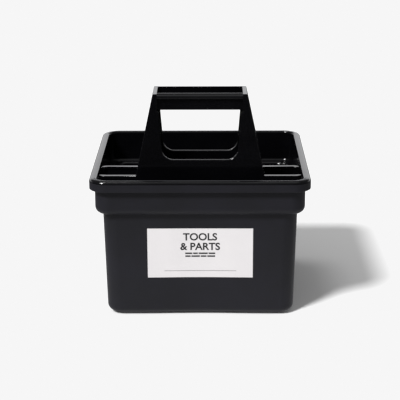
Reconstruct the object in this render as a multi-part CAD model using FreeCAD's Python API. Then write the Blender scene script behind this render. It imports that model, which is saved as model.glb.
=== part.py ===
import FreeCAD, Part
import math
import os

from FreeCAD import Vector

# Tool storage caddy: a tapered box, a lift-out handle insert and a front label.
# Millimetres. Origin: centre of the base, on the surface that the caddy stands on.
# +X is right as seen from the labelled front, +Y is towards the back, +Z is up.

# Rim: a flange round the mouth, turned down at its outer edge.
RIM_WIDTH = 158.0
RIM_DEPTH = 152.0
RIM_TOP = 104.7
RIM_CORNER = 13.0
RIM_DROP = 7.9
RIM_SHEET = 1.9
RIM_SHOULDER = 2.0
MOUTH_ROUND = 1.6

# Collar: the wide upper band, which ends in a rounded step down to the body.
COLLAR_INSET = 3.8
COLLAR_BOTTOM = 78.4
COLLAR_CORNER = 10.5
COLLAR_WALL = 1.6
COLLAR_ROUND = 5.0

# Body: tapers down to an inset foot ring.
BODY_TOP_INSET = 8.9
BODY_BOTTOM_INSET = 10.8
BODY_CORNER = 11.0
BODY_WALL = 2.0
BODY_ROUND = 5.0
FOOT_HEIGHT = 1.3
FOOT_INSET = 0.4
FOOT_RING = 5.0
FOOT_CORNER = 5.5
FLOOR_TOP = 3.5
FLOOR_ROUND = 3.5
LEDGE_TOP = COLLAR_BOTTOM + BODY_WALL
LEDGE_ROUND = 2.0
LEDGE_HOLLOW = 2.0

# Handle insert: two plates, two slanted sides and a grip, with a pocket on each side.
INSERT_FRONT = -52.8
INSERT_BACK = -24.6
INSERT_BOTTOM = 6.0
PLATE = 2.2
HANDLE_TOP = 162.6
HANDLE_TOP_HALF = 33.5
HANDLE_FLARE = 0.214
GRIP_BOTTOM = 150.7
OPENING_BOTTOM = 114.6
OPENING_TOP_HALF = 29.5
OPENING_BOTTOM_HALF = 26.6
OPENING_ROUND = 8.0

# Grip: a trough along the top, with lips that stand proud of its lower part.
TROUGH_HALF = 30.6
TROUGH_FLOOR = 153.1
GRIP_FRONT_LIP = 4.3
GRIP_BACK_LIP = 2.0
GRIP_LIP_HEIGHT = 3.4
GRIP_FRONT_RECESS = 2.6
GRIP_BACK_RECESS = 0.4

# Pockets: a well each side, with a shoulder that hangs on the box's ledge.
POCKET_TOP = 102.6
POCKET_CLEARANCE = 0.5
POCKET_FRONT_RIM = 3.6
POCKET_BACK_RIM = 3.0
POCKET_RIM_HEIGHT = 2.0
POCKET_CORNER = 4.0
POCKET_BEVEL = 3.2
NOTCH_BOTTOM = 94.0
NOTCH_ROUND = 3.0
LEDGE_CLEARANCE = 0.3
WELL_CLEARANCE = 0.8

# Label: a thin rectangle on the front of the body.
LABEL_WIDTH = 76.0
LABEL_HEIGHT = 37.7
LABEL_SHEET = 0.2
LABEL_BOTTOM = 29.7

HALF_X = RIM_WIDTH / 2
HALF_Y = RIM_DEPTH / 2
RIM_BOTTOM = RIM_TOP - RIM_DROP
INSERT_MID = (INSERT_FRONT + INSERT_BACK) / 2
INSERT_HALF = (INSERT_BACK - INSERT_FRONT) / 2
PLATE_GAP = INSERT_HALF - PLATE
POCKET_INNER = HANDLE_TOP_HALF + HANDLE_FLARE * (HANDLE_TOP - POCKET_TOP) - PLATE


def body_inset(z):
    """How far the body's outer face lies inside the rim's, at height z."""
    rise = (z - FOOT_HEIGHT) / (COLLAR_BOTTOM - FOOT_HEIGHT)
    return BODY_BOTTOM_INSET + (BODY_TOP_INSET - BODY_BOTTOM_INSET) * rise


def rounded_rect(inset, radius, z):
    """Wire of the round-cornered rectangle that lies inset inside the rim, at height z."""
    reach_x = HALF_X - inset - radius
    reach_y = HALF_Y - inset - radius
    centres = ((reach_x, reach_y), (-reach_x, reach_y), (-reach_x, -reach_y), (reach_x, -reach_y))
    arcs = []
    for quarter, (mid_x, mid_y) in enumerate(centres):
        turns = [math.radians(90 * quarter + step) for step in (0, 45, 90)]
        points = [Vector(mid_x + radius * math.cos(a), mid_y + radius * math.sin(a), z) for a in turns]
        arcs.append(Part.Arc(*points).toShape())
    edges = []
    for here, following in zip(arcs, arcs[1:] + arcs[:1]):
        edges += [here, Part.makeLine(here.lastVertex().Point, following.firstVertex().Point)]
    return Part.Wire(edges)


def prism(inset, radius, z_low, z_high):
    """Straight-sided block inside the rim's outline."""
    return Part.Face(rounded_rect(inset, radius, z_low)).extrude(Vector(0, 0, z_high - z_low))


def taper(low, high):
    """Block between two outlines, each given as (inset, radius, z)."""
    return Part.makeLoft([rounded_rect(*low), rounded_rect(*high)], True, True)


def level_edges(shape, z, inset=None):
    """Edges of a shape that lie at height z, and where inset is given, on that outline."""
    found = []
    for edge in shape.Edges:
        box = edge.BoundBox
        if abs(box.ZMin - z) > 1e-4 or abs(box.ZMax - z) > 1e-4:
            continue
        reach = max(abs(box.XMin) - HALF_X, abs(box.XMax) - HALF_X)
        reach = max(reach, abs(box.YMin) - HALF_Y, abs(box.YMax) - HALF_Y)
        if inset is None or abs(reach + inset) < 0.01:
            found.append(edge)
    return found


def make_body():
    """Tapered body on its foot ring, still solid."""
    low = (body_inset(FOOT_HEIGHT), BODY_CORNER, FOOT_HEIGHT)
    high = (body_inset(COLLAR_BOTTOM), BODY_CORNER, COLLAR_BOTTOM)
    body = taper(low, high)
    body = body.makeFillet(BODY_ROUND, level_edges(body, FOOT_HEIGHT))
    foot_inset = body_inset(FOOT_HEIGHT) + BODY_ROUND + FOOT_INSET
    foot = prism(foot_inset, FOOT_CORNER, 0.0, FOOT_HEIGHT)
    recess = prism(foot_inset + FOOT_RING, 1.0, 0.0, FOOT_HEIGHT)
    return body.fuse(foot.cut(recess))


def make_collar():
    """Collar band with its rounded lower edge, still solid."""
    collar = prism(COLLAR_INSET, COLLAR_CORNER, COLLAR_BOTTOM, RIM_TOP - RIM_SHEET)
    return collar.makeFillet(COLLAR_ROUND, level_edges(collar, COLLAR_BOTTOM))


def make_rim():
    """Rim flange with its skirt and its rounded shoulder, still solid inside."""
    rim = prism(0.0, RIM_CORNER, RIM_BOTTOM, RIM_TOP)
    rim = rim.makeFillet(RIM_SHOULDER, level_edges(rim, RIM_TOP))
    return rim.cut(prism(RIM_SHEET, RIM_CORNER - RIM_SHEET, RIM_BOTTOM, RIM_TOP - RIM_SHEET))


def make_cavity():
    """Inside of the box: the wide part down to the ledge, and the tapered part below it."""
    wide_inset = COLLAR_INSET + COLLAR_WALL
    wide = prism(wide_inset, COLLAR_CORNER - COLLAR_WALL, LEDGE_TOP, RIM_TOP)
    wide = wide.makeFillet(LEDGE_HOLLOW, level_edges(wide, LEDGE_TOP))
    corner = BODY_CORNER - BODY_WALL
    low = (body_inset(FLOOR_TOP) + BODY_WALL, corner, FLOOR_TOP)
    high = (body_inset(LEDGE_TOP) + BODY_WALL, corner, LEDGE_TOP)
    narrow = taper(low, high)
    narrow = narrow.makeFillet(FLOOR_ROUND, level_edges(narrow, FLOOR_TOP))
    return wide.fuse(narrow)


def make_storage_box():
    """The box moulding: body, collar and rim, hollowed out."""
    box = make_body().fuse(make_collar()).fuse(make_rim()).cut(make_cavity()).removeSplitter()
    mouth = level_edges(box, RIM_TOP, COLLAR_INSET + COLLAR_WALL)
    box = box.makeFillet(MOUTH_ROUND, mouth)
    ledge = level_edges(box, LEDGE_TOP, body_inset(LEDGE_TOP) + BODY_WALL)
    return box.makeFillet(LEDGE_ROUND, ledge)


def flare_half(z):
    """Half the handle's width at height z, on its slanted outer edge."""
    return HANDLE_TOP_HALF + HANDLE_FLARE * (HANDLE_TOP - z)


def panel(points, y_low, y_high):
    """Flat panel with the outline (x, z) in points, from y_low to y_high."""
    corners = [Vector(x, y_low, z) for x, z in points]
    return Part.Face(Part.makePolygon(corners + corners[:1])).extrude(Vector(0, y_high - y_low, 0))


def mirrored(points):
    """Outline points and their mirror images, in order round the outline."""
    return points + [(-x, z) for x, z in reversed(points)]


def make_finger_opening():
    """Hole through both plates, under the grip, with round lower corners."""
    corners = [(OPENING_BOTTOM_HALF, OPENING_BOTTOM), (OPENING_TOP_HALF, GRIP_BOTTOM)]
    hole = panel(mirrored(corners), INSERT_FRONT, INSERT_BACK)
    lower = [e for e in hole.Edges if e.BoundBox.YLength > 1.0 and e.BoundBox.ZMax < OPENING_BOTTOM + 1.0]
    return hole.makeFillet(OPENING_ROUND, lower)


def make_plate(y_low):
    """Upright plate: straight between the pockets, and narrowing above them to the grip."""
    corners = [
        (POCKET_INNER, INSERT_BOTTOM),
        (POCKET_INNER, POCKET_TOP),
        (flare_half(POCKET_TOP), POCKET_TOP),
        (flare_half(GRIP_BOTTOM), GRIP_BOTTOM),
    ]
    return panel(mirrored(corners), y_low, y_low + PLATE).cut(make_finger_opening())


def make_right_side():
    """Slanted wall that closes the handle's side, standing on the pocket's inner wall."""
    corners = [
        (flare_half(GRIP_BOTTOM) - PLATE, GRIP_BOTTOM),
        (flare_half(GRIP_BOTTOM), GRIP_BOTTOM),
        (flare_half(POCKET_TOP), POCKET_TOP),
        (POCKET_INNER, POCKET_TOP),
    ]
    return panel(corners, INSERT_MID - PLATE_GAP, INSERT_MID + PLATE_GAP)


def make_grip():
    """Grip across the top of the handle, hollowed by its trough and recessed below its lips."""
    corners = [(flare_half(GRIP_BOTTOM), GRIP_BOTTOM), (HANDLE_TOP_HALF, HANDLE_TOP)]
    grip = panel(mirrored(corners), INSERT_FRONT, INSERT_BACK)
    trough_front = INSERT_FRONT + GRIP_FRONT_LIP
    trough_depth = INSERT_BACK - GRIP_BACK_LIP - trough_front
    trough = Part.makeBox(2 * TROUGH_HALF, trough_depth, HANDLE_TOP - TROUGH_FLOOR)
    trough.translate(Vector(-TROUGH_HALF, trough_front, TROUGH_FLOOR))
    recess_height = HANDLE_TOP - GRIP_LIP_HEIGHT - GRIP_BOTTOM
    back_face = INSERT_BACK - GRIP_BACK_RECESS
    for y_low, depth in ((INSERT_FRONT, GRIP_FRONT_RECESS), (back_face, GRIP_BACK_RECESS)):
        recess = Part.makeBox(2 * TROUGH_HALF, depth, recess_height)
        recess.translate(Vector(-TROUGH_HALF, y_low, GRIP_BOTTOM))
        grip = grip.cut(recess)
    return grip.cut(trough)


def well_outline(x_high, wall, z, front=None, back=None):
    """Outline of the right pocket at height z, with round corners on its outer end.

    wall is 0 for the outside, and the wall's thickness for the hollow. front and back,
    where they are given, are the thicknesses of those two walls instead.
    """
    x_low = POCKET_INNER + wall
    x_high = x_high - wall
    radius = POCKET_CORNER - wall / 2
    bend = radius * (1 - math.sqrt(0.5))
    y_low = INSERT_FRONT + (wall if front is None else front)
    y_high = INSERT_BACK - (wall if back is None else back)
    low_arc = [(x_high - radius, y_low), (x_high - bend, y_low + bend), (x_high, y_low + radius)]
    high_arc = [(x_high, y_high - radius), (x_high - bend, y_high - bend), (x_high - radius, y_high)]
    corners = [Vector(x_low, y_low, z), Vector(x_low, y_high, z)]
    low_points = [Vector(x, y, z) for x, y in low_arc]
    high_points = [Vector(x, y, z) for x, y in high_arc]
    return Part.Wire([
        Part.makeLine(corners[0], low_points[0]),
        Part.Arc(*low_points).toShape(),
        Part.makeLine(low_points[2], high_points[0]),
        Part.Arc(*high_points).toShape(),
        Part.makeLine(high_points[2], corners[1]),
        Part.makeLine(corners[1], corners[0]),
    ])


def well(low, high):
    """Block between two pocket outlines, each given as the arguments of well_outline."""
    return Part.makeLoft([well_outline(*low), well_outline(*high)], True, True)


def make_notch(reach):
    """Opening in the upper part of a pocket's outer end, with round lower corners."""
    width = INSERT_BACK - INSERT_FRONT - 2 * POCKET_CORNER
    notch = Part.makeBox(2 * POCKET_CORNER, width, 2 * (POCKET_TOP - NOTCH_BOTTOM))
    notch.translate(Vector(reach - POCKET_CORNER, INSERT_FRONT + POCKET_CORNER, NOTCH_BOTTOM))
    lower = [e for e in notch.Edges if e.BoundBox.XLength > 1.0 and e.BoundBox.ZMax < NOTCH_BOTTOM + 1.0]
    return notch.makeFillet(NOTCH_ROUND, lower)


def make_right_pocket():
    """Pocket: a narrow well, and above the ledge a wider mouth, notched at its outer end."""
    mouth_reach = HALF_X - COLLAR_INSET - COLLAR_WALL - POCKET_CLEARANCE
    shoulder = LEDGE_TOP + LEDGE_CLEARANCE
    top_reach = HALF_X - body_inset(shoulder) - BODY_WALL - WELL_CLEARANCE
    low_reach = HALF_X - body_inset(INSERT_BOTTOM) - BODY_WALL - WELL_CLEARANCE
    rim_bottom = POCKET_TOP - POCKET_RIM_HEIGHT
    outside = well((mouth_reach - POCKET_BEVEL, 0.0, shoulder),
                   (mouth_reach, 0.0, shoulder + POCKET_BEVEL))
    outside = outside.fuse(well((mouth_reach, 0.0, shoulder + POCKET_BEVEL),
                                (mouth_reach, 0.0, POCKET_TOP)))
    outside = outside.fuse(well((low_reach, 0.0, INSERT_BOTTOM), (top_reach, 0.0, shoulder)))
    floor = INSERT_BOTTOM + PLATE
    step = shoulder + POCKET_BEVEL
    hollow = well((low_reach, PLATE, floor), (top_reach, PLATE, step))
    hollow = hollow.fuse(well((mouth_reach, PLATE, step), (mouth_reach, PLATE, rim_bottom)))
    hollow = hollow.fuse(well((mouth_reach, PLATE, rim_bottom, POCKET_FRONT_RIM, POCKET_BACK_RIM),
                              (mouth_reach, PLATE, POCKET_TOP, POCKET_FRONT_RIM, POCKET_BACK_RIM)))
    return outside.cut(hollow).cut(make_notch(mouth_reach)).removeSplitter()


def make_label():
    """Label lying on the body's sloping front face."""
    face_y = -(HALF_Y - body_inset(LABEL_BOTTOM))
    slope = (BODY_BOTTOM_INSET - BODY_TOP_INSET) / (COLLAR_BOTTOM - FOOT_HEIGHT)
    label = Part.makeBox(LABEL_WIDTH, LABEL_SHEET, LABEL_HEIGHT)
    label.translate(Vector(-LABEL_WIDTH / 2, face_y - LABEL_SHEET, LABEL_BOTTOM))
    pivot = Vector(0, face_y, LABEL_BOTTOM)
    label.rotate(pivot, Vector(1, 0, 0), math.degrees(math.atan(slope)))
    return label


def mirror_x(shape):
    """The same shape on the other side of the middle plane."""
    return shape.mirror(Vector(0, 0, 0), Vector(1, 0, 0))


os.makedirs("parts", exist_ok=True)

right_side = make_right_side()
right_pocket = make_right_pocket()
NODES = {
    "storage_box": make_storage_box(),
    "front_label": make_label(),
    "handle_front_plate": make_plate(INSERT_FRONT),
    "handle_back_plate": make_plate(INSERT_BACK - PLATE),
    "handle_right_side": right_side,
    "handle_left_side": mirror_x(right_side),
    "grip_trough": make_grip(),
    "right_pocket": right_pocket,
    "left_pocket": mirror_x(right_pocket),
}

for name, shape in NODES.items():
    solids = len(shape.Solids)
    print(f"{name}: {solids} solid, {shape.Volume / 1000:.2f} cm3, valid {shape.isValid()}")
    shape.exportStep(f"parts/{name}.step")
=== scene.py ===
import math

import bmesh
import bpy
from mathutils import Matrix, Vector


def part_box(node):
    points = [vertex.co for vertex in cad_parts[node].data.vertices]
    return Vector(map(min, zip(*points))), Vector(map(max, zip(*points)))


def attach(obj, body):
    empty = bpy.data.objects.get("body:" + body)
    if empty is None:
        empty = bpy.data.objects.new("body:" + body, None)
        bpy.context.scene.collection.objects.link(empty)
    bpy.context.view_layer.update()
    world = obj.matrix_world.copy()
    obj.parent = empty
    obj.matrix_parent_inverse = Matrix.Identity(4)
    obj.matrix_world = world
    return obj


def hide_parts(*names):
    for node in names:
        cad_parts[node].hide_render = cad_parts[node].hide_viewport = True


# Tool storage caddy. Metres, in the CAD frame: +X right, +Y back, +Z up.
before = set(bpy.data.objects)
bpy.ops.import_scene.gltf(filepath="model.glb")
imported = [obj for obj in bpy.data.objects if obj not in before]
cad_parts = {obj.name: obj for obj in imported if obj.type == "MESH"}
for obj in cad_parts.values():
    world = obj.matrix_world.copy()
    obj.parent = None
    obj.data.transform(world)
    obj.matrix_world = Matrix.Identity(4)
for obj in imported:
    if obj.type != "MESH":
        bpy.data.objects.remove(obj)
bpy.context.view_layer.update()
MM = 0.001

# Corners of the CAD nodes that the pieces stand for.
BOX_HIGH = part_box("storage_box")[1]
LABEL_LOW, LABEL_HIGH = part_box("front_label")
PLATE_LOW, PLATE_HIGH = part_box("handle_front_plate")
BACK_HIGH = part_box("handle_back_plate")[1]
GRIP_LOW, GRIP_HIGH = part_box("grip_trough")
POCKET_LOW, POCKET_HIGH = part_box("right_pocket")

# Storage box: how far its faces lie inside the rim, its heights, roundings and wall thicknesses.
RIM_TOP = BOX_HIGH.z
RIM_CORNER = 13 * MM
SKIRT_LOW = RIM_TOP - 7.9 * MM
SKIRT_SHEET = 1.9 * MM
SHOULDER = 2 * MM
CREST_INSET = 4.1 * MM
CREST_TILT = math.radians(12)
COLLAR_INSET = 3.8 * MM
COLLAR_CORNER = 10.5 * MM
COLLAR_ROUND = 5 * MM
COLLAR_LOW = 78.4 * MM
COLLAR_WALL = 1.6 * MM
MOUTH_ROUND = 1.6 * MM
BODY_TOP_INSET = 8.9 * MM
BODY_LOW_INSET = 10.8 * MM
BODY_CORNER = 11 * MM
BODY_ROUND = 5 * MM
BODY_WALL = 2 * MM
FOOT_HEIGHT = 1.3 * MM
FOOT_GAP = 0.4 * MM
FOOT_RING = 5 * MM
FOOT_CORNER = 5.6 * MM
UNDER_MARGIN = 8 * MM
FLOOR_TOP = 3.5 * MM
FLOOR_ROUND = 3.5 * MM
LEDGE_TOP = COLLAR_LOW + BODY_WALL
LEDGE_ROUND = 2 * MM
LEDGE_HOLLOW = 2 * MM
LEAST_CORNER = 1 * MM

# Round moulding marks in the middle of the underside and of the floor inside.
MARK_RADIUS = 5 * MM
MARK_UNDER = 0.25 * MM
MARK_INSIDE = 0.2 * MM

# Heights between which the front rim's crest is painted lighter as a painted highlight and made
# rougher, and where that ends towards the back.
PAINTED_CREST_FROM = RIM_TOP - 0.06 * MM
PAINTED_CREST_FULL = RIM_TOP - 0.02 * MM
PAINTED_CREST_BACK = -BOX_HIGH.y + 12 * MM
PAINTED_CREST_FADE = 0.5 * MM

# The long walls of the moulding pull in a little between the corners.
BOW_FRONT = 1.2 * MM
BOW_SIDE = 0.6 * MM

# Steps along each side and corner of a box section, and along most roundings.
SIDE_STEPS = 16
CORNER_STEPS = 16
ROUND_STEPS = 8

# Insert: plates, slanted sides and finger opening.
FRONT_Y = PLATE_LOW.y
BACK_Y = BACK_HIGH.y
MID_Y = (FRONT_Y + BACK_Y) / 2
INSERT_LOW = PLATE_LOW.z
WALL = PLATE_HIGH.y - PLATE_LOW.y
GRIP_UNDER = GRIP_LOW.z
HANDLE_TOP = GRIP_HIGH.z
POCKET_TOP = POCKET_HIGH.z
POCKET_INNER = POCKET_LOW.x
POCKET_REACH = POCKET_HIGH.x
HANDLE_TOP_HALF = 33.5 * MM
FLARE = (GRIP_HIGH.x - HANDLE_TOP_HALF) / (HANDLE_TOP - GRIP_UNDER)
OPENING_LOW = 114.6 * MM
OPENING_TOP_HALF = 29.5 * MM
OPENING_LOW_HALF = 26.6 * MM
OPENING_ROUND = 8 * MM

# Insert: the grip's trough and its two lips, which are crowned, rounded under and recessed below.
TROUGH_HALF = 30.6 * MM
TROUGH_FLOOR = 153.1 * MM
FRONT_LIP = 4.3 * MM
FRONT_CROWN = 2.4 * MM
BACK_LIP = 2 * MM
BACK_CROWN = 0.5 * MM
LIP_HEIGHT = 3.4 * MM
FRONT_UNDER = 0.7 * MM
BACK_UNDER = 0.2 * MM
FRONT_RECESS = 2.6 * MM
BACK_RECESS = 0.4 * MM

# Insert: pockets, each with a shoulder just above the box's ledge, and a notch in its outer end.
POCKET_CORNER = 4 * MM
POCKET_BEVEL = 3.2 * MM
LEDGE_GAP = 0.3 * MM
POCKET_STEP = LEDGE_TOP + LEDGE_GAP
POCKET_RIM = 2 * MM
FRONT_RIM = 3.6 * MM
BACK_RIM = 3 * MM
WELL_GAP = 0.8 * MM
NOTCH_LOW = 94 * MM
NOTCH_ROUND = 3 * MM

# Widths of the insert's rounded edges, and angles above which an edge is rounded, is shaded sharp,
# or keeps two faces apart.
OPENING_EDGE = 0.8 * MM
EDGE_ROUND = 0.5 * MM
CRAMPED_EDGE = 0.1 * MM
EDGE_ANGLE = math.radians(32)
SHARP_ANGLE = math.radians(40)
FLAT_ANGLE = math.radians(0.5)

# How far cutters reach past what they cut, and how far neighbouring cutters or blocks overlap.
CLEAR = 10 * MM
LAP = 1 * MM
POCKET_LAP = 3 * MM

# Distances below which points are merged, or count as lying at a level or on the opening.
SAME_POINT = 0.004 * MM
SAME_MIRRORED = 0.002 * MM
SAME_PRINTED = 0.001 * MM
SAME_LEVEL = 0.02 * MM
NEAR_OPENING = 0.05 * MM

# Label and its generic print: words, lines of bars and a rule. Each word and line comes with the
# height of its middle, and the lengths of the bars are in mm.
LABEL_SHEET = 0.2 * MM
PRINT_LIFT = 0.03 * MM
PRINT_SPREAD = 0.19 * MM
WORDS = (("TOOLS", 61.2 * MM), ("& PARTS", 53.8 * MM))
CAPITAL_HEIGHT = 5.6 * MM
CAPITAL_SHARE = 0.73
BAR_LINES = ((48.3 * MM, (5.1, 3.4, 6.6, 4.8)), (46.1 * MM, (3.8, 6.1, 4.2, 5.6)))
BAR_HEIGHT = 1.15 * MM
BAR_GAP = 0.6 * MM
BAR_STEP = 3 * MM
RULE_Z = 34.8 * MM
RULE_HALF = 26 * MM
RULE_HEIGHT = 0.25 * MM

# Places of the sockets that share a name with others on their node, and of a display curve.
MIX_COLOURS = (6, 7)
MIX_RESULT = 2
ALL_CHANNELS = 3

# Room: brightness of the plain background in view, for diffuse light, and in the gloss.
WHITE = 0.922
ROOM_DIFFUSE = 0.42
ROOM_BAND = 1.15
ROOM_LOW = 0.03
ROOM_HIGH = 0.12
OVERHEAD = 0.5

# Glowing card under the floor, seen only in the gloss, where it paints the floor's reflection.
CARD_RADIUS = 0.30
CARD_DROP = 1 * MM
CARD_GLOW = 0.8

# Camera: degrees it looks down, looks left and leans, lens and sensor in mm, place in metres.
CAMERA_TURN = (17.1, 0.51, -0.21)
CAMERA_LENS = 119.45
CAMERA_SENSOR = 36.0
CAMERA_PLACE = (0.00804, -0.97015, 0.36673)


# ---------------------------------------------------------------- mesh helpers

def arc(mid_a, mid_b, radius, start, stop, steps=ROUND_STEPS):
    """Points of an arc between two angles in degrees, measured from the first axis."""
    angles = [math.radians(start + (stop - start) * step / steps) for step in range(steps + 1)]
    return [(mid_a + radius * math.cos(a), mid_b + radius * math.sin(a)) for a in angles]


def new_object(name, data):
    """Object for a mesh or curve, linked to the scene, and not moved from the origin."""
    piece = bpy.data.objects.new(name, data)
    bpy.context.scene.collection.objects.link(piece)
    return piece


def mesh_from(name, points, faces):
    """Mesh with outward faces from points and lists of point numbers."""
    mesh = bpy.data.meshes.new(name)
    mesh.from_pydata(points, [], faces)
    work = bmesh.new()
    work.from_mesh(mesh)
    bmesh.ops.recalc_face_normals(work, faces=work.faces)
    work.to_mesh(mesh)
    work.free()
    return mesh


def stack(name, rings):
    """Closed mesh through rings of the same number of points, capped at both ends."""
    count = len(rings[0])
    points = [point for ring in rings for point in ring]
    faces = [list(range(count))]
    for level in range(len(rings) - 1):
        low, high = level * count, (level + 1) * count
        for here in range(count):
            after = (here + 1) % count
            faces.append([low + here, low + after, high + after, high + here])
    faces.append(list(range((len(rings) - 1) * count, len(rings) * count)))
    return mesh_from(name, points, faces)


def prism_y(name, outline, y_low, y_high):
    """Block with an (x, z) outline between two y values."""
    rings = [[(x, y, z) for x, z in outline] for y in (y_low, y_high)]
    return stack(name, rings)


def prism_x(name, outline, x_low, x_high):
    """Block with a (y, z) outline between two x values."""
    rings = [[(x, y, z) for y, z in outline] for x in (x_low, x_high)]
    return stack(name, rings)


def mirrored(outline):
    """Outline points, then their mirror images in reverse order."""
    return outline + [(-side, z) for side, z in reversed(outline)]


def combine(target, meshes, operation):
    """Mesh of target joined with, or cut by, each of the meshes in turn."""
    for tool_mesh in meshes:
        piece = new_object("work_piece", target)
        tool = new_object("work_tool", tool_mesh)
        boolean = piece.modifiers.new("boolean", "BOOLEAN")
        boolean.operation = operation
        boolean.solver = "EXACT"
        boolean.object = tool
        bpy.context.view_layer.update()
        graph = bpy.context.evaluated_depsgraph_get()
        target = bpy.data.meshes.new_from_object(piece.evaluated_get(graph))
        bpy.data.objects.remove(piece)
        bpy.data.objects.remove(tool)
    return target


def smooth(piece):
    """Smooth shading whose normals lean to the larger faces."""
    for face in piece.data.polygons:
        face.use_smooth = True
    weighted = piece.modifiers.new("flat_face_normals", "WEIGHTED_NORMAL")
    weighted.keep_sharp = True
    weighted.weight = 70


# ---------------------------------------------------------------- storage box
# Profiles are points (inset, z) with a corner radius. Angle 0 is into the box, and 90 is up.

def body_inset(z):
    """How far the body's outer face lies inside the rim at a height."""
    rise = (z - FOOT_HEIGHT) / (COLLAR_LOW - FOOT_HEIGHT)
    return BODY_LOW_INSET + (BODY_TOP_INSET - BODY_LOW_INSET) * rise


def pull(z):
    """Share of the walls' inward bow at a height: full at the foot, none at the collar."""
    share = max(0.0, min(1.0, (COLLAR_LOW - z) / COLLAR_LOW))
    return share * (2 - share)


def bow_at(along, half, amount):
    """Inward bow at a distance along a wall from its middle."""
    share = min(1.0, abs(along) / half)
    return amount * (1 - share * share) ** 3


def section(inset, z, corner, bowed=True):
    """Ring of points round the box at a height, anticlockwise from above."""
    half_x = BOX_HIGH.x - inset
    half_y = BOX_HIGH.y - inset
    corner = min(corner, half_x, half_y)
    share = pull(z) if bowed else 0.0
    straight_x = half_x - corner
    straight_y = half_y - corner
    ring = []
    for quarter in range(4):
        turn = quarter * math.pi / 2
        sign_x = 1 if quarter in (0, 3) else -1
        sign_y = 1 if quarter in (0, 1) else -1
        for step in range(CORNER_STEPS + 1):
            angle = turn + math.pi / 2 * step / CORNER_STEPS
            x = sign_x * straight_x + corner * math.cos(angle)
            y = sign_y * straight_y + corner * math.sin(angle)
            ring.append((x, y, z))
        for step in range(1, SIDE_STEPS):
            along = 1 - 2 * step / SIDE_STEPS
            if quarter in (0, 2):
                x = sign_x * straight_x * along
                y = sign_y * (half_y - bow_at(x, straight_x, BOW_FRONT * share))
            else:
                y = sign_y * straight_y * along
                x = sign_x * (half_x - bow_at(y, straight_y, BOW_SIDE * share))
            ring.append((x, y, z))
    return ring


def with_corner(points, corner, at_inset):
    """Adds corner radii to (inset, z) points, for faces offset from one corner."""
    return [(inset, z, max(LEAST_CORNER, corner - (inset - at_inset))) for inset, z in points]


def under_profile():
    """Underside and foot ring, from the middle outwards."""
    outer = body_inset(FOOT_HEIGHT) + BODY_ROUND + FOOT_GAP
    inner = outer + FOOT_RING
    soft = 0.4 * MM
    points = [(inner + UNDER_MARGIN, FOOT_HEIGHT)]
    points += arc(inner + soft, FOOT_HEIGHT - soft, soft, 90, 180, 4)
    points += arc(inner - soft, soft, soft, 0, -90, 4)
    points += arc(outer + soft, soft, soft, -90, -180, 4)
    points += arc(outer - soft / 2, FOOT_HEIGHT - soft / 2, soft / 2, 0, 90, 3)
    return with_corner(points, FOOT_CORNER, outer)


def body_profile():
    """Tapered outer wall, from its lower rounding up to the collar."""
    low = FOOT_HEIGHT + BODY_ROUND
    inset = body_inset(low)
    points = with_corner(arc(inset + BODY_ROUND, low, BODY_ROUND, -90, -180), BODY_CORNER, inset)
    levels = 9
    top = COLLAR_LOW - 0.5 * MM
    soft = 0.45 * MM
    for level in range(1, levels + 1):
        z = low + (top - low) * level / levels
        points.append((body_inset(z), z, BODY_CORNER))
    crease = arc(BODY_TOP_INSET - soft, COLLAR_LOW - soft, soft, 0, 84, 4)
    return points + with_corner(crease[1:], BODY_CORNER, BODY_TOP_INSET)


def collar_profile():
    """Outer face of the collar, up behind the rim's skirt."""
    mid = COLLAR_INSET + COLLAR_ROUND
    soft = 0.4 * MM
    ceiling = RIM_TOP - SKIRT_SHEET
    points = arc(mid, COLLAR_LOW + COLLAR_ROUND, COLLAR_ROUND, -96, -180)
    points.append((COLLAR_INSET, (COLLAR_LOW + COLLAR_ROUND + ceiling) / 2))
    points += arc(COLLAR_INSET - soft, ceiling - soft, soft, 0, 90, 3)
    return with_corner(points, COLLAR_CORNER, COLLAR_INSET)


def skirt_profile():
    """Turned-down skirt of the rim: inside, lower edge and outside."""
    soft = 0.45 * MM
    ceiling = RIM_TOP - SKIRT_SHEET
    points = arc(SKIRT_SHEET + soft, ceiling - soft, soft, 90, 180, 3)
    points += arc(SKIRT_SHEET - soft, SKIRT_LOW + soft, soft, 0, -90, 4)
    points += arc(soft, SKIRT_LOW + soft, soft, -90, -180, 4)
    return with_corner(points, RIM_CORNER, 0.0)


def crown_profile():
    """Shoulder of the rim and its gently crowned top, up to the crest by the mouth."""
    tilt = CREST_TILT
    start = SHOULDER * (1 - math.sin(tilt))
    run = CREST_INSET - start
    rise = run * math.tan(tilt) / 2
    mid_z = RIM_TOP - rise - SHOULDER * math.cos(tilt)
    points = arc(SHOULDER, mid_z, SHOULDER, 180, 90 + math.degrees(tilt), 10)
    steps = 8
    for step in range(1, steps + 1):
        share = step / steps
        height = run * math.tan(tilt) * (share - share * share / 2)
        points.append((start + run * share, RIM_TOP - rise + height))
    return with_corner(points, RIM_CORNER, 0.0)


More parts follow.
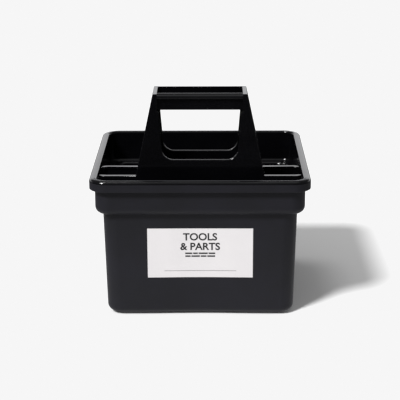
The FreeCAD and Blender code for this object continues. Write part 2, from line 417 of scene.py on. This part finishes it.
def inside_profile():
    """Mouth, inner collar, ledge, inner wall and the rounding down to the floor."""
    inset = COLLAR_INSET + COLLAR_WALL
    corner = COLLAR_CORNER - COLLAR_WALL
    points = arc(inset - MOUTH_ROUND, RIM_TOP - MOUTH_ROUND, MOUTH_ROUND, 84, 0)
    points += arc(inset + LEDGE_HOLLOW, LEDGE_TOP + LEDGE_HOLLOW, LEDGE_HOLLOW, 180, 270)
    points = with_corner(points, corner, inset)
    edge = body_inset(COLLAR_LOW) + BODY_WALL
    inner_corner = BODY_CORNER - BODY_WALL
    ledge = arc(edge - LEDGE_ROUND, LEDGE_TOP - LEDGE_ROUND, LEDGE_ROUND, 84, 0)
    start = points[-1][2]
    for step, (at, z) in enumerate(ledge, 1):
        points.append((at, z, start + (inner_corner - start) * step / len(ledge)))
    low = FLOOR_TOP + FLOOR_ROUND
    levels = 8
    for level in range(1, levels):
        z = LEDGE_TOP - LEDGE_ROUND + (low - LEDGE_TOP + LEDGE_ROUND) * level / levels
        points.append((body_inset(z) + BODY_WALL, z, inner_corner))
    wall = body_inset(low) + BODY_WALL
    rounding = arc(wall + FLOOR_ROUND, low, FLOOR_ROUND, 180, 270)
    return points + with_corner(rounding, inner_corner, wall)


def round_point(x, y, reach, z):
    """A section point moved in to a circle round the middle."""
    angle = math.atan2(y, x)
    return (reach * math.cos(angle), reach * math.sin(angle), z)


def mark_rings(z, rise):
    """Rings round a moulding mark, from its edge inwards, in a level face at a height."""
    rings = []
    for share, level in ((1.0, z), (0.94, z + rise), (0.2, z + rise)):
        reach = MARK_RADIUS * share
        ring = section(0.0, level, RIM_CORNER, bowed=False)
        rings.append([round_point(x, y, reach, level) for x, y, _ in ring])
    return rings


def make_box():
    """The storage box as one closed surface, matte outside and glossy on top and inside."""
    matte = under_profile() + body_profile() + collar_profile() + skirt_profile()
    glossy = crown_profile() + inside_profile()
    rings = list(reversed(mark_rings(FOOT_HEIGHT, MARK_UNDER)))
    rings += [section(*entry) for entry in matte]
    first_glossy = len(rings)
    rings += [section(*entry) for entry in glossy]
    rings += mark_rings(FLOOR_TOP, MARK_INSIDE)
    mesh = stack("storage_box_shell", rings)
    count = len(rings[0])
    # Face 0 closes the underside. After it, each ring starts a band of one face for each point.
    for number, face in enumerate(mesh.polygons):
        band = (number - 1) // count
        face.material_index = 1 if band >= first_glossy else 0
    return new_object("storage_box_shell", mesh)


# ---------------------------------------------------------------- handle insert

def flare_half(z):
    """Half the handle's width at a height, on its slanted outer edge."""
    return HANDLE_TOP_HALF + FLARE * (HANDLE_TOP - z)


def handle_block():
    """The handle's outline as a solid block, before it is hollowed."""
    outline = [
        (POCKET_INNER, INSERT_LOW),
        (POCKET_INNER, POCKET_TOP),
        (flare_half(POCKET_TOP), POCKET_TOP),
        (flare_half(GRIP_UNDER), GRIP_UNDER),
        (HANDLE_TOP_HALF, HANDLE_TOP),
    ]
    return prism_y("handle_block", mirrored(outline), FRONT_Y, BACK_Y)


def handle_hollow():
    """Space between the plates, open at the bottom."""
    outline = [
        (POCKET_INNER, INSERT_LOW - CLEAR),
        (POCKET_INNER, POCKET_TOP),
        (flare_half(GRIP_UNDER) - WALL, GRIP_UNDER),
    ]
    return prism_y("handle_hollow", mirrored(outline), FRONT_Y + WALL, BACK_Y - WALL)


def finger_opening():
    """Cutter for the opening under the grip, with round lower corners."""
    lean = (OPENING_TOP_HALF - OPENING_LOW_HALF) / (GRIP_UNDER - OPENING_LOW)
    slope = math.degrees(math.atan(lean))
    mid_z = OPENING_LOW + OPENING_ROUND
    reach = OPENING_ROUND / math.cos(math.radians(slope))
    mid_x = OPENING_LOW_HALF + lean * OPENING_ROUND - reach
    outline = arc(mid_x, mid_z, OPENING_ROUND, 270, 360 - slope)
    outline.append((OPENING_TOP_HALF, GRIP_UNDER))
    return prism_y("finger_opening", mirrored(outline), FRONT_Y - CLEAR, BACK_Y + CLEAR)


def lip_cutter(face, inward, width, crown, rounding, recess):
    """Cutter that shapes one lip of the grip: crowned on top, rounded under, then recessed.

    face is the lip's outer face in y, and inward is 1 or -1, from there to the trough.
    """
    crown_steps, under_steps = 10, 4
    outline = []
    for step in range(crown_steps + 1):
        angle = math.pi / 2 * step / crown_steps
        y = face + inward * width * (1 - math.sin(angle))
        z = HANDLE_TOP - crown * (1 - math.cos(angle))
        outline.append((y, z))
    under = HANDLE_TOP - LIP_HEIGHT
    for step in range(under_steps + 1):
        angle = math.pi / 2 * step / under_steps
        y = face + inward * rounding * (1 - math.cos(angle))
        z = under + rounding * (1 - math.sin(angle))
        outline.append((y, z))
    outline.append((face + inward * recess, under))
    outline.append((face + inward * recess, GRIP_UNDER - LAP))
    outline.append((face - inward * CLEAR, GRIP_UNDER - LAP))
    outline.append((face - inward * CLEAR, HANDLE_TOP + CLEAR))
    outline.append((face + inward * width, HANDLE_TOP + CLEAR))
    return prism_x("lip_cutter", outline, -TROUGH_HALF, TROUGH_HALF)


def trough_cutter():
    """Cutter for the trough along the top of the grip."""
    y_low, y_high = FRONT_Y + FRONT_LIP, BACK_Y - BACK_LIP
    outline = [(y_low, TROUGH_FLOOR), (y_high, TROUGH_FLOOR),
               (y_high, HANDLE_TOP + CLEAR), (y_low, HANDLE_TOP + CLEAR)]
    return prism_x("trough_cutter", outline, -TROUGH_HALF, TROUGH_HALF)


def pocket_ring(side, x_low, x_high, y_low, y_high, radius, z):
    """Outline of a pocket at a height, with round corners on its outer end."""
    points = [(x_low, y_high), (x_low, y_low)]
    points += arc(x_high - radius, y_low + radius, radius, -90, 0)
    points += arc(x_high - radius, y_high - radius, radius, 0, 90)
    return [(side * x, y, z) for x, y in points]


def well_reach(z):
    """How far a pocket's well reaches sideways at a height below the ledge."""
    return BOX_HIGH.x - body_inset(z) - BODY_WALL - WELL_GAP


def pocket_stack(side, levels, x_low, radius):
    """Closed mesh of a pocket's outside or hollow.

    Each level is (reach, front, back, z): how far it reaches sideways, and how far it lies
    inside the insert's front and back faces.
    """
    rings = [pocket_ring(side, x_low, reach, FRONT_Y + front, BACK_Y - back, radius, z)
             for reach, front, back, z in levels]
    return stack("pocket", rings)


def pocket_outsides(side):
    """Solid mouth and well of a pocket, overlapping each other and the handle block."""
    x_low = POCKET_INNER - POCKET_LAP
    bevel_top = POCKET_STEP + POCKET_BEVEL
    mouth = [(POCKET_REACH - POCKET_BEVEL, 0.0, 0.0, POCKET_STEP),
             (POCKET_REACH, 0.0, 0.0, bevel_top),
             (POCKET_REACH, 0.0, 0.0, POCKET_TOP)]
    well = [(well_reach(INSERT_LOW), 0.0, 0.0, INSERT_LOW),
            (well_reach(bevel_top), 0.0, 0.0, bevel_top)]
    return [pocket_stack(side, levels, x_low, POCKET_CORNER) for levels in (mouth, well)]


def pocket_hollows(side):
    """Hollow of a pocket: its well, the wider part above the ledge, and the rim's opening."""
    x_low = flare_half(POCKET_TOP)
    step = POCKET_STEP + POCKET_BEVEL
    rim = POCKET_TOP - POCKET_RIM
    reach = POCKET_REACH - WALL
    well = [(well_reach(INSERT_LOW) - WALL, WALL, WALL, INSERT_LOW + WALL),
            (well_reach(POCKET_STEP) - WALL, WALL, WALL, step + LAP)]
    wide = [(reach, WALL, WALL, step), (reach, WALL, WALL, rim)]
    opening = [(reach, FRONT_RIM, BACK_RIM, rim - LAP),
               (reach, FRONT_RIM, BACK_RIM, POCKET_TOP + CLEAR)]
    radius = POCKET_CORNER - WALL / 2
    return [pocket_stack(side, levels, x_low, radius) for levels in (well, wide, opening)]


def notch_cutter(side):
    """Cutter for the opening in a pocket's outer end, with round lower corners."""
    half = (BACK_Y - FRONT_Y) / 2 - POCKET_CORNER
    right = arc(half - NOTCH_ROUND, NOTCH_LOW + NOTCH_ROUND, NOTCH_ROUND, 270, 360)
    right.append((half, POCKET_TOP + CLEAR))
    outline = [(MID_Y + y, z) for y, z in mirrored(right)]
    ends = sorted((side * (POCKET_REACH - POCKET_CORNER), side * (POCKET_REACH + CLEAR)))
    return prism_x("notch_cutter", outline, *ends)


def tidy_mesh(mesh):
    """Merges the flat faces that the cuts left in pieces, and drops doubled points."""
    work = bmesh.new()
    work.from_mesh(mesh)
    bmesh.ops.remove_doubles(work, verts=work.verts, dist=SAME_POINT)
    bmesh.ops.dissolve_degenerate(work, dist=SAME_POINT, edges=work.edges)
    bmesh.ops.dissolve_limit(work, angle_limit=FLAT_ANGLE, verts=work.verts, edges=work.edges)
    bmesh.ops.recalc_face_normals(work, faces=work.faces)
    work.to_mesh(mesh)
    work.free()


def all_at(points, axis, level):
    """Whether points all lie at a level along an axis, on either side of the middle."""
    return all(abs(abs(point[axis]) - level) < SAME_LEVEL for point in points)


def in_opening(points):
    """Whether points all lie on or in the finger opening."""
    return all(abs(point.x) < OPENING_TOP_HALF + NEAR_OPENING and
               OPENING_LOW - NEAR_OPENING < point.z < GRIP_UNDER + NEAR_OPENING
               for point in points)


def edge_width(points):
    """Width of an edge's rounding.

    It is wide round the finger opening, narrow on a pocket's shoulder and at the grip's ends,
    where there is little room, and nothing on the line where a pocket's rim meets the handle.
    """
    x_axis, z_axis = 0, 2
    if all_at(points, z_axis, POCKET_TOP) and all_at(points, x_axis, flare_half(POCKET_TOP)):
        return 0.0
    if in_opening(points) and not all_at(points, z_axis, GRIP_UNDER):
        return OPENING_EDGE
    shoulder = all_at(points, z_axis, POCKET_STEP)
    shoulder_top = all_at(points, z_axis, POCKET_STEP + POCKET_BEVEL)
    grip_end = all_at(points, x_axis, TROUGH_HALF)
    return CRAMPED_EDGE if shoulder or shoulder_top or grip_end else EDGE_ROUND


def weigh_edges(mesh):
    """Marks how wide each edge's rounding is, as a share of the widest."""
    work = bmesh.new()
    work.from_mesh(mesh)
    weights = work.edges.layers.float.new("bevel_weight_edge")
    for edge in work.edges:
        if edge.calc_face_angle(0.0) > EDGE_ANGLE:
            edge[weights] = edge_width([point.co for point in edge.verts]) / OPENING_EDGE
    work.to_mesh(mesh)
    work.free()


def mirror_left(mesh):
    """Makes the right half of a mesh the exact mirror image of its left half."""
    work = bmesh.new()
    work.from_mesh(mesh)
    everything = work.verts[:] + work.edges[:] + work.faces[:]
    bmesh.ops.bisect_plane(work, geom=everything, plane_co=(0, 0, 0), plane_no=(1, 0, 0),
                           clear_outer=True)
    everything = work.verts[:] + work.edges[:] + work.faces[:]
    bmesh.ops.mirror(work, geom=everything, axis="X", merge_dist=SAME_MIRRORED)
    bmesh.ops.recalc_face_normals(work, faces=work.faces)
    work.to_mesh(mesh)
    work.free()


def soften(mesh):
    """Mesh with its marked edges rounded, kept inside the insert's own bounds."""
    piece = new_object("work_piece", mesh)
    bevel = piece.modifiers.new("soft_edges", "BEVEL")
    bevel.width = OPENING_EDGE
    bevel.segments = 3
    bevel.limit_method = "WEIGHT"
    bevel.use_clamp_overlap = False
    bpy.context.view_layer.update()
    graph = bpy.context.evaluated_depsgraph_get()
    mesh = bpy.data.meshes.new_from_object(piece.evaluated_get(graph))
    bpy.data.objects.remove(piece)
    for point in mesh.vertices:
        x, y, z = point.co
        x = min(max(x, -POCKET_REACH), POCKET_REACH)
        y = min(max(y, FRONT_Y), BACK_Y)
        point.co = (x, y, min(max(z, INSERT_LOW), HANDLE_TOP))
    mirror_left(mesh)
    mesh.set_sharp_from_angle(angle=SHARP_ANGLE)
    return mesh


def make_insert():
    """Handle, grip and both pockets as the one moulding they are."""
    blocks = pocket_outsides(1) + pocket_outsides(-1)
    mesh = combine(handle_block(), blocks, "UNION")
    cutters = [handle_hollow(), finger_opening(), trough_cutter(),
               lip_cutter(FRONT_Y, 1, FRONT_LIP, FRONT_CROWN, FRONT_UNDER, FRONT_RECESS),
               lip_cutter(BACK_Y, -1, BACK_LIP, BACK_CROWN, BACK_UNDER, BACK_RECESS)]
    for side in (1, -1):
        cutters += pocket_hollows(side) + [notch_cutter(side)]
    mesh = combine(mesh, cutters, "DIFFERENCE")
    tidy_mesh(mesh)
    weigh_edges(mesh)
    return new_object("handle_insert", soften(mesh))


# ---------------------------------------------------------------- label

def label_y(x, z, lift):
    """Place in y of a point lifted off the body's sloping, slightly bowed front."""
    straight = BOX_HIGH.x - body_inset(z) - BODY_CORNER
    bow = bow_at(x, straight, BOW_FRONT * pull(z))
    return -(BOX_HIGH.y - body_inset(z)) + bow - lift


def make_label():
    """The label as a thin sheet that follows the wall it is stuck to."""
    columns, rows = 24, 12
    width = LABEL_HIGH.x - LABEL_LOW.x
    height = LABEL_HIGH.z - LABEL_LOW.z
    points, faces = [], []
    for lift in (LABEL_SHEET, 0.0):
        for row in range(rows + 1):
            for column in range(columns + 1):
                x = LABEL_LOW.x + width * column / columns
                z = LABEL_LOW.z + height * row / rows
                points.append((x, label_y(x, z, lift), z))
    line = columns + 1
    layer = line * (rows + 1)
    for row in range(rows):
        for column in range(columns):
            at = row * line + column
            faces.append([at, at + 1, at + line + 1, at + line])
            faces.append([layer + at, layer + at + line, layer + at + line + 1, layer + at + 1])
    rim = list(range(columns))
    rim += [columns + row * line for row in range(rows)]
    rim += [layer - 1 - column for column in range(columns)]
    rim += [(rows - row) * line for row in range(rows)]
    for here, after in zip(rim, rim[1:] + rim[:1]):
        faces.append([here, after, layer + after, layer + here])
    return new_object("label_sheet", mesh_from("label_sheet", points, faces))


def printed_bar(x_low, x_high, middle_z, height):
    """Thin printed bar that follows the wall."""
    columns = max(1, round((x_high - x_low) / BAR_STEP))
    low, high = middle_z - height / 2, middle_z + height / 2
    corners = ((low, 0.0), (low, PRINT_LIFT), (high, PRINT_LIFT), (high, 0.0))
    rings = []
    for column in range(columns + 1):
        x = x_low + (x_high - x_low) * column / columns
        rings.append([(x, label_y(x, z, LABEL_SHEET + lift), z) for z, lift in corners])
    return stack("printed_bar", rings)


def printed_line(middle_z, lengths):
    """Meshes of a centred row of small bars that stands in for a line of small print."""
    start = -(sum(lengths) + BAR_GAP * (len(lengths) - 1)) / 2
    bars = []
    for length in lengths:
        bars.append(printed_bar(start, start + length, middle_z, BAR_HEIGHT))
        start += length + BAR_GAP
    return bars


def printed_words(words, middle_z):
    """Mesh of plain capital letters, centred on the label at a height."""
    curve = bpy.data.curves.new("words", "FONT")
    curve.body = words
    curve.align_x = "CENTER"
    curve.size = CAPITAL_HEIGHT / CAPITAL_SHARE
    curve.extrude = PRINT_LIFT / 2
    curve.offset = PRINT_SPREAD
    curve.resolution_u = 6
    text = new_object("words", curve)
    bpy.context.view_layer.update()
    graph = bpy.context.evaluated_depsgraph_get()
    mesh = bpy.data.meshes.new_from_object(text.evaluated_get(graph))
    bpy.data.objects.remove(text)
    base = middle_z - CAPITAL_HEIGHT / 2
    for point in mesh.vertices:
        x, rise, lift = point.co
        z = base + rise
        point.co = (x, label_y(x, z, LABEL_SHEET + lift + PRINT_LIFT / 2), z)
    work = bmesh.new()
    work.from_mesh(mesh)
    bmesh.ops.remove_doubles(work, verts=work.verts, dist=SAME_PRINTED)
    work.to_mesh(mesh)
    work.free()
    return mesh


def make_print():
    """Meshes of the generic print: two lines of words, two of small bars, and a thin rule."""
    meshes = [printed_words(words, middle_z) for words, middle_z in WORDS]
    for middle_z, lengths in BAR_LINES:
        meshes += printed_line(middle_z, [length * MM for length in lengths])
    meshes.append(printed_bar(-RULE_HALF, RULE_HALF, RULE_Z, RULE_HEIGHT))
    return meshes


# ---------------------------------------------------------------- materials

class Nodes:
    """A node tree, with short calls to add and link nodes."""

    def __init__(self, tree):
        self.tree = tree

    def add(self, kind):
        """New node of a kind."""
        return self.tree.nodes.new(kind)

    def link(self, output, target):
        """Links an output socket to an input socket."""
        self.tree.links.new(output, target)

    def spread(self, value, from_low, from_high, to_low, to_high):
        """Value mapped smoothly from one range to another."""
        node = self.add("ShaderNodeMapRange")
        node.interpolation_type = "SMOOTHSTEP"
        self.link(value, node.inputs["Value"])
        node.inputs["From Min"].default_value = from_low
        node.inputs["From Max"].default_value = from_high
        node.inputs["To Min"].default_value = to_low
        node.inputs["To Max"].default_value = to_high
        return node.outputs["Result"]

    def math(self, operation, first, second):
        """Sum, product or other arithmetic of two values."""
        node = self.add("ShaderNodeMath")
        node.operation = operation
        for socket, value in zip(node.inputs, (first, second)):
            if isinstance(value, (int, float)):
                socket.default_value = value
            else:
                self.link(value, socket)
        return node.outputs["Value"]

    def backdrop(self, colour, strength):
        """Shader of a room in one colour, with a strength that is a number or a socket."""
        node = self.add("ShaderNodeBackground")
        node.inputs["Color"].default_value = (*colour, 1.0)
        if isinstance(strength, float):
            node.inputs["Strength"].default_value = strength
        else:
            self.link(strength, node.inputs["Strength"])
        return node.outputs["Background"]

    def choose(self, share, first, second):
        """Shader that is the second one where share is 1, and the first one where it is 0."""
        node = self.add("ShaderNodeMixShader")
        self.link(share, node.inputs["Fac"])
        self.link(first, node.inputs[1])
        self.link(second, node.inputs[2])
        return node.outputs["Shader"]


class Surface(Nodes):
    """The nodes of a material, around its own shader."""

    def __init__(self, name):
        self.material = bpy.data.materials.new(name)
        self.material.use_nodes = True
        super().__init__(self.material.node_tree)
        self.shader = self.tree.nodes["Principled BSDF"]
        self.place = self.add("ShaderNodeTexCoord").outputs["Object"]

    def noise(self, scale, detail=3.0, roughness=0.5, place=None):
        """Noise value at a scale per metre."""
        node = self.add("ShaderNodeTexNoise")
        node.inputs["Scale"].default_value = scale
        node.inputs["Detail"].default_value = detail
        node.inputs["Roughness"].default_value = roughness
        self.link(place or self.place, node.inputs["Vector"])
        return node.outputs["Fac"]

    def stretched(self, scale):
        """Object coordinates scaled by a different factor along each axis."""
        node = self.add("ShaderNodeMapping")
        node.inputs["Scale"].default_value = scale
        self.link(self.place, node.inputs["Vector"])
        return node.outputs["Vector"]

    def blend(self, share, first, second):
        """Colour between two colours by a share."""
        node = self.add("ShaderNodeMix")
        node.data_type = "RGBA"
        self.link(share, node.inputs["Factor"])
        for place, value in zip(MIX_COLOURS, (first, second)):
            if isinstance(value, tuple):
                node.inputs[place].default_value = (*value, 1.0)
            else:
                self.link(value, node.inputs[place])
        return node.outputs[MIX_RESULT]

    def bump(self, height, distance, strength, normal=None):
        """Bump from a height value, on top of an earlier one if there is one."""
        node = self.add("ShaderNodeBump")
        node.inputs["Strength"].default_value = strength
        node.inputs["Distance"].default_value = distance
        self.link(height, node.inputs["Height"])
        if normal is not None:
            self.link(normal, node.inputs["Normal"])
        return node.outputs["Normal"]

    def level(self, axis, low, high):
        """0 below low and 1 above high along one axis of the object."""
        node = self.add("ShaderNodeSeparateXYZ")
        self.link(self.place, node.inputs["Vector"])
        return self.spread(node.outputs[axis], low, high, 0.0, 1.0)

    def edges(self, low, high):
        """1 on sharply convex edges and 0 on flat faces."""
        node = self.add("ShaderNodeNewGeometry")
        return self.spread(node.outputs["Pointiness"], low, high, 0.0, 1.0)


def matte_plastic():
    """Black polypropylene with a fine spark-eroded grain, rubbed on its edges."""
    nodes = Surface("matte_black_plastic")
    cloud = nodes.noise(35.0, 4.0)
    grain = nodes.noise(2600.0, 2.0, 0.6)
    colour = nodes.blend(nodes.spread(cloud, 0.35, 0.65, 0.0, 1.0),
                         (0.0046, 0.0045, 0.0072), (0.0057, 0.0055, 0.0094))
    rub = nodes.math("MULTIPLY", nodes.edges(0.52, 0.60), nodes.spread(cloud, 0.4, 0.7, 0.1, 0.5))
    colour = nodes.blend(rub, colour, (0.018, 0.018, 0.022))
    nodes.link(colour, nodes.shader.inputs["Base Color"])
    scuff = nodes.noise(1.0, 3.0, 0.6, nodes.stretched((60.0, 60.0, 420.0)))
    rough = nodes.math("ADD", nodes.spread(grain, 0.3, 0.7, 0.50, 0.60),
                       nodes.spread(scuff, 0.62, 0.75, 0.0, -0.08))
    nodes.link(rough, nodes.shader.inputs["Roughness"])
    wave = nodes.bump(nodes.noise(22.0, 1.0), 0.25 * MM, 0.5)
    fine = nodes.bump(grain, 0.02 * MM, 0.6, wave)
    nodes.link(fine, nodes.shader.inputs["Normal"])
    nodes.shader.inputs["IOR"].default_value = 1.49
    nodes.shader.inputs["Specular IOR Level"].default_value = 0.35
    return nodes.material


def gloss_plastic():
    """Polished black polypropylene, faintly wavy, with a painted highlight on the front rim's
    crest, which is also rougher there.
    """
    nodes = Surface("gloss_black_plastic")
    cloud = nodes.noise(28.0, 3.0)
    colour = nodes.blend(nodes.spread(cloud, 0.35, 0.65, 0.0, 1.0),
                         (0.0012, 0.0012, 0.0016), (0.0018, 0.0018, 0.0024))
    crest = nodes.level("Z", PAINTED_CREST_FROM, PAINTED_CREST_FULL)
    behind = nodes.level("Y", PAINTED_CREST_BACK - PAINTED_CREST_FADE, PAINTED_CREST_BACK)
    painted_crest = nodes.spread(nodes.math("SUBTRACT", crest, behind), 0.0, 1.0, 0.0, 1.0)
    # Painted highlight: the front rim's crest is painted lighter, standing in for the thin bright
    # line of light along it.
    colour = nodes.blend(painted_crest, colour, (0.055, 0.055, 0.060))
    nodes.link(colour, nodes.shader.inputs["Base Color"])
    hair = nodes.noise(1.0, 2.0, 0.5, nodes.stretched((90.0, 900.0, 900.0)))
    rough = nodes.math("ADD", nodes.spread(cloud, 0.3, 0.7, 0.10, 0.15),
                       nodes.spread(hair, 0.66, 0.78, 0.0, 0.12))
    rough = nodes.math("ADD", rough, nodes.math("MULTIPLY", painted_crest, 0.40))
    nodes.link(rough, nodes.shader.inputs["Roughness"])
    wave = nodes.bump(nodes.noise(60.0, 1.0), 0.04 * MM, 0.5)
    nodes.link(wave, nodes.shader.inputs["Normal"])
    nodes.shader.inputs["IOR"].default_value = 1.5
    return nodes.material


def label_paper():
    """Coated white paper with a faint fibre, and not quite evenly white."""
    nodes = Surface("label_paper")
    fibre = nodes.noise(1800.0, 4.0, 0.7)
    cloud = nodes.noise(45.0, 2.0)
    colour = nodes.blend(nodes.spread(cloud, 0.3, 0.7, 0.0, 1.0),
                         (0.578, 0.560, 0.566), (0.602, 0.583, 0.588))
    nodes.link(colour, nodes.shader.inputs["Base Color"])
    nodes.link(nodes.spread(fibre, 0.3, 0.7, 0.48, 0.62), nodes.shader.inputs["Roughness"])
    nodes.link(nodes.bump(fibre, 0.01 * MM, 0.4), nodes.shader.inputs["Normal"])
    return nodes.material


def label_ink():
    """Black printing ink, slightly uneven."""
    nodes = Surface("label_ink")
    speckle = nodes.noise(3200.0, 2.0)
    colour = nodes.blend(nodes.spread(speckle, 0.4, 0.8, 0.0, 1.0),
                         (0.006, 0.006, 0.007), (0.016, 0.016, 0.018))
    nodes.link(colour, nodes.shader.inputs["Base Color"])
    nodes.link(nodes.spread(speckle, 0.3, 0.7, 0.45, 0.6), nodes.shader.inputs["Roughness"])
    return nodes.material


# ---------------------------------------------------------------- pieces

def build_pieces():
    """Makes every piece, and puts each on its body."""
    matte, gloss = matte_plastic(), gloss_plastic()
    box = make_box()
    box.data.materials.append(matte)
    box.data.materials.append(gloss)
    smooth(box)
    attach(box, "box")
    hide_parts("storage_box")

    insert = make_insert()
    insert.data.materials.append(gloss)
    smooth(insert)
    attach(insert, "insert")
    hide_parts("handle_front_plate", "handle_back_plate", "handle_right_side",
                "handle_left_side", "grip_trough", "right_pocket", "left_pocket")

    label = make_label()
    label.data.materials.append(label_paper())
    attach(label, "box")
    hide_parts("front_label")

    ink = label_ink()
    for number, mesh in enumerate(make_print(), 1):
        mark = new_object(f"label_print_{number}", mesh)
        mark.data.materials.append(ink)
        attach(mark, "box")


# ---------------------------------------------------------------- stage

def make_floor():
    """Plain pale floor."""
    reach = 8.0
    corners = [(-reach, -reach, 0), (reach, -reach, 0), (reach, reach, 0), (-reach, reach, 0)]
    floor = new_object("floor", mesh_from("floor", corners, [[0, 1, 2, 3]]))
    nodes = Surface("floor_paper")
    nodes.shader.inputs["Base Color"].default_value = (0.8, 0.8, 0.8, 1.0)
    nodes.shader.inputs["Roughness"].default_value = 1.0
    nodes.shader.inputs["Specular IOR Level"].default_value = 0.0
    floor.data.materials.append(nodes.material)
    floor.visible_glossy = False


def make_reflection_glow():
    """Glowing card just under the floor, seen only in the plastic's gloss, where it paints a
    reflection of the lit floor.
    """
    steps = 48
    ring = [(x, y, -CARD_DROP) for x, y in arc(0.0, 0.0, CARD_RADIUS, 0, 360, steps)[:-1]]
    card = new_object("floor_reflection_glow", mesh_from("floor_reflection_glow", ring, [list(range(steps))]))
    material = bpy.data.materials.new("floor_reflection_glow")
    material.use_nodes = True
    material.node_tree.nodes.clear()
    nodes = Nodes(material.node_tree)
    # Painted reflection: the card glows, though it is no lamp, and stands in for the floor in the
    # plastic's gloss.
    glow = nodes.add("ShaderNodeEmission")
    glow.inputs["Color"].default_value = (0.9, 0.9, 0.92, 1.0)
    glow.inputs["Strength"].default_value = CARD_GLOW
    nodes.link(glow.outputs["Emission"], nodes.add("ShaderNodeOutputMaterial").inputs["Surface"])
    material.cycles.emission_sampling = "NONE"
    card.data.materials.append(material)
    card.visible_camera = False
    card.visible_diffuse = False
    card.visible_shadow = False


def make_sun(name, toward, strength, degrees):
    """Distant light that comes from the direction toward, as wide as some degrees of sky."""
    lamp = bpy.data.lights.new(name, "SUN")
    lamp.energy = strength
    lamp.angle = math.radians(degrees)
    holder = bpy.data.objects.new(name, lamp)
    holder.rotation_euler = Vector(toward).to_track_quat("Z", "Y").to_euler()
    bpy.context.scene.collection.objects.link(holder)


def room_in_gloss(nodes):
    """Brightness of the room as the gloss shows it: a bright band behind, and dark elsewhere."""
    direction = nodes.add("ShaderNodeSeparateXYZ")
    nodes.link(nodes.add("ShaderNodeTexCoord").outputs["Generated"], direction.inputs["Vector"])
    # Parts of a direction of length 1, from the object towards the room.
    back, up = direction.outputs["Y"], direction.outputs["Z"]
    band = nodes.math("MULTIPLY", nodes.spread(back, 0.1, 0.8, 0.0, ROOM_BAND),
                      nodes.spread(up, 0.34, 0.44, 1.0, 0.0))
    band = nodes.math("MULTIPLY", band, nodes.spread(up, -0.02, 0.02, 0.0, 1.0))
    rest = nodes.spread(up, -0.05, 0.05, ROOM_LOW, ROOM_HIGH)
    overhead = nodes.spread(up, 0.90, 0.96, 0.0, OVERHEAD)
    return nodes.math("ADD", nodes.math("ADD", band, rest), overhead)


def make_world():
    """Soft white room: plain in view, patterned in the gloss, and even for diffuse light."""
    world = bpy.data.worlds.new("studio")
    bpy.context.scene.world = world
    world.use_nodes = True
    world.cycles.sampling_method = "NONE"
    world.node_tree.nodes.clear()
    nodes = Nodes(world.node_tree)
    in_gloss = nodes.backdrop((0.98, 0.98, 1.0), room_in_gloss(nodes))
    in_view = nodes.backdrop((1.0, 1.0, 1.0), WHITE)
    in_diffuse = nodes.backdrop((1.0, 1.0, 1.0), ROOM_DIFFUSE)
    path = nodes.add("ShaderNodeLightPath")
    unseen = nodes.choose(path.outputs["Is Glossy Ray"], in_diffuse, in_gloss)
    room = nodes.choose(path.outputs["Is Camera Ray"], unseen, in_view)
    nodes.link(room, nodes.add("ShaderNodeOutputWorld").inputs["Surface"])


def make_camera():
    """Camera in front, a little above, with a long lens."""
    pitch, yaw, roll = [math.radians(degrees) for degrees in CAMERA_TURN]
    forward = Vector((-math.sin(yaw) * math.cos(pitch), math.cos(yaw) * math.cos(pitch),
                      -math.sin(pitch)))
    right = Vector((math.cos(yaw), math.sin(yaw), 0.0))
    up = right.cross(forward)
    turned_right = right * math.cos(roll) + up * math.sin(roll)
    turned_up = up * math.cos(roll) - right * math.sin(roll)
    lens = bpy.data.cameras.new("camera")
    lens.lens = CAMERA_LENS
    lens.sensor_width = CAMERA_SENSOR
    lens.clip_start = 0.01
    lens.clip_end = 50.0
    camera = bpy.data.objects.new("camera", lens)
    turn = Matrix((turned_right, turned_up, -forward)).transposed().to_4x4()
    camera.matrix_world = Matrix.Translation(CAMERA_PLACE) @ turn
    bpy.context.scene.collection.objects.link(camera)
    bpy.context.scene.camera = camera


def make_display():
    """Plain display without a film look, where nothing shows brighter than the background."""
    display = bpy.context.scene.view_settings
    display.view_transform = "Standard"
    display.use_curve_mapping = True
    curves = display.curve_mapping
    curve = curves.curves[ALL_CHANNELS]
    curve.points.new(WHITE, WHITE)
    curve.points[-1].location = (1.0, WHITE)
    for point in curve.points:
        point.handle_type = "VECTOR"
    curves.update()


build_pieces()
make_floor()
make_reflection_glow()
make_sun("key_light", toward=(-0.645, -0.72, 1.0), strength=4.05, degrees=12.0)
make_sun("top_light", toward=(-0.25, 0.25, 1.0), strength=0.45, degrees=18.0)
make_world()
make_camera()
make_display()

bpy.context.view_layer.update()
